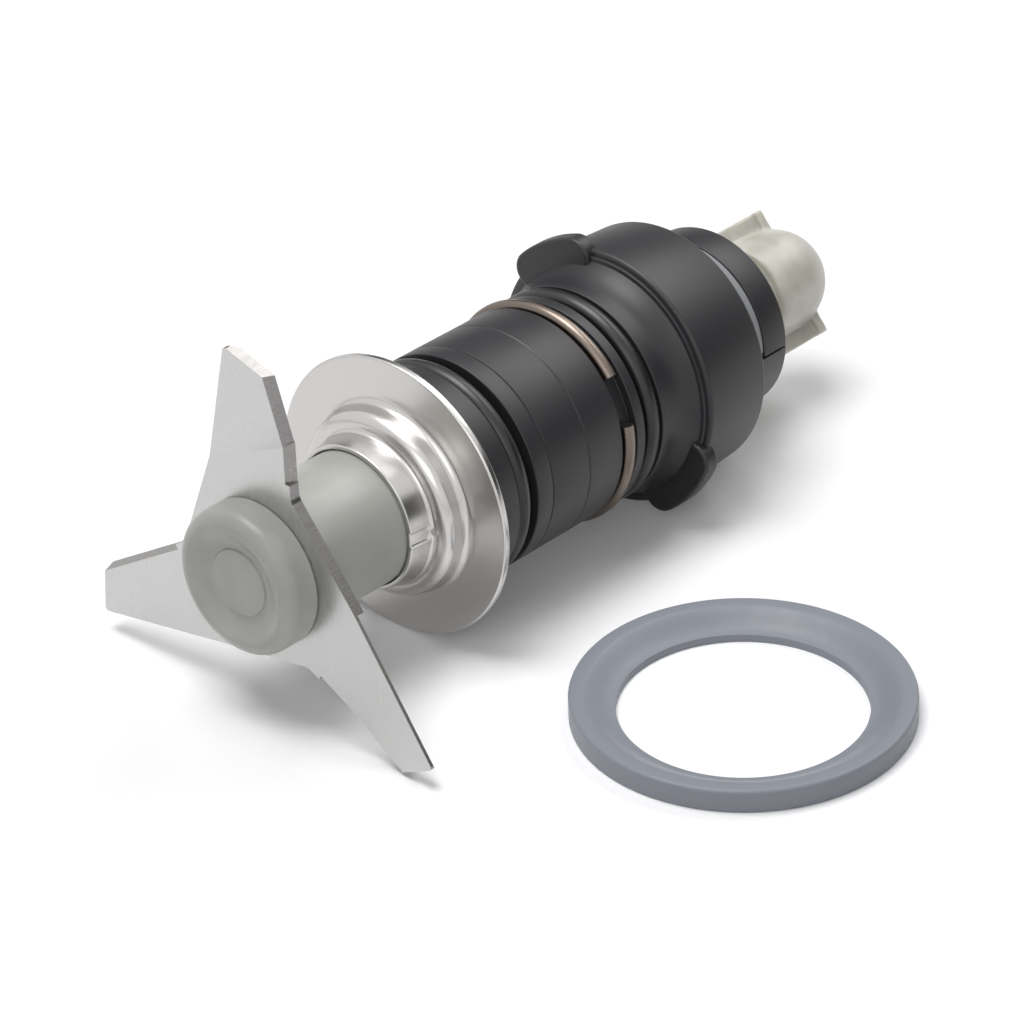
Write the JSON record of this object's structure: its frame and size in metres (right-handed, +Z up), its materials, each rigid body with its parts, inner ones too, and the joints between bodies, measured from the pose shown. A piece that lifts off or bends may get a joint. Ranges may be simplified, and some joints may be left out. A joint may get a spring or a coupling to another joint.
{
  "type": "blender blade assembly",
  "caption": "Blender blade assembly lying on its side: folded blade, capped spindle, steel flange, ringed black bearing body with bayonet lugs and drive coupling, jar seal beside it.",
  "frame": {"origin": "on the floor, under the middle of the outline of the lying assembly and its loose seal", "axes": "+X along the turning axis from the blade to the drive coupling (the axis dips slightly towards the coupling), +Z up, the loose seal on the -Y side"},
  "size_m": [0.1102, 0.0946, 0.0507],
  "materials": {
    "drawn_steel": "bright drawn stainless sheet",
    "blade_steel": "brushed stainless sheet with ground bevels",
    "bearing_steel": "ground bearing and shaft steel",
    "spring_steel": "oil-tempered spring wire and stamped rings",
    "black_plastic": "matt moulded glass-filled plastic",
    "grey_acetal": "satin moulded acetal",
    "white_nylon": "translucent natural nylon, satin",
    "cage_plastic": "moulded nylon cage",
    "black_rubber": "smooth moulded nitrile",
    "grey_rubber": "matt grey sheet rubber",
    "seal_rubber": "satin moulded silicone, blue-grey"
  },
  "bodies": {
    "housing": {"flange_cup": "drawn_steel", "front_housing": "black_plastic", "main_housing": "black_plastic", "front_o_ring": "black_rubber", "rear_o_ring": "black_rubber", "snap_ring": "spring_steel", "shaft_seal": "black_rubber", "garter_spring": "spring_steel", "front_outer_ring": "bearing_steel", "rear_outer_ring": "bearing_steel", "bore_circlip": "spring_steel", "dust_seal": "black_rubber", "rear_gasket": "grey_rubber", "lock_ring": "black_plastic", "jar_seal": "seal_rubber"},
    "spindle": {"blade_cap": "grey_acetal", "blade": "blade_steel", "hub_sleeve": "grey_acetal", "drive_shaft": "bearing_steel", "wear_sleeve": "bearing_steel", "front_inner_ring": "bearing_steel", "rear_inner_ring": "bearing_steel", "bearing_spacer": "bearing_steel", "shaft_circlip": "spring_steel", "drive_coupling": "white_nylon"},
    "front_ball_set": {"front_balls": "bearing_steel", "front_cage": "cage_plastic"},
    "rear_ball_set": {"rear_balls": "bearing_steel", "rear_cage": "cage_plastic"}
  },
  "joints": [
    {"name": "spindle_turn", "type": "hinge", "parent": "housing", "child": "spindle", "pos_m": [-0.02719, 0.01942, 0.01851], "axis": [0.9997, 0, -0.0224], "continuous": true},
    {"name": "front_balls_turn", "type": "hinge", "parent": "housing", "child": "front_ball_set", "pos_m": [-0.00759, 0.01942, 0.01807], "axis": [0.9997, 0, -0.0224], "continuous": true},
    {"name": "rear_balls_turn", "type": "hinge", "parent": "housing", "child": "rear_ball_set", "pos_m": [0.0188, 0.01942, 0.01748], "axis": [0.9997, 0, -0.0224], "continuous": true}
  ],
  "couplings": [
    {"joint": "front_balls_turn", "follows": "spindle_turn", "ratio": 0.38519},
    {"joint": "rear_balls_turn", "follows": "spindle_turn", "ratio": 0.38519}
  ]
}
